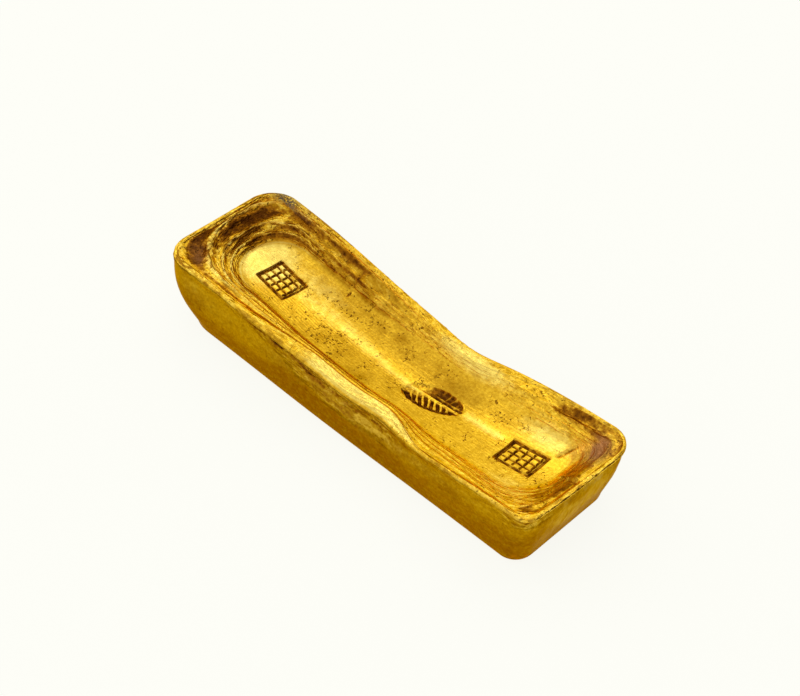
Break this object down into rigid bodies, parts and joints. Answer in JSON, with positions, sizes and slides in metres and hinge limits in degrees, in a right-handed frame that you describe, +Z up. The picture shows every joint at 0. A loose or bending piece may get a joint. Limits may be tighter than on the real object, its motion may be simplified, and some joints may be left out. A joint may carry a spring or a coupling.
{
  "type": "metal ingot",
  "caption": "Cast gold ingot: a waisted, boat-shaped bar with drafted walls, a thin raised rim and a stepped dish with punch marks in its top.",
  "frame": {"origin": "centre of the bar's underside, on the surface it lies on", "axes": "+X along the bar's length, towards the end with the finer shrinkage rings; +Y across the bar; +Z up, out of the dish"},
  "size_m": [0.088, 0.0262, 0.014],
  "materials": {
    "gold": "satin cast gold"
  },
  "bodies": {
    "root": {"ingot": "gold"}
  },
  "joints": []
}
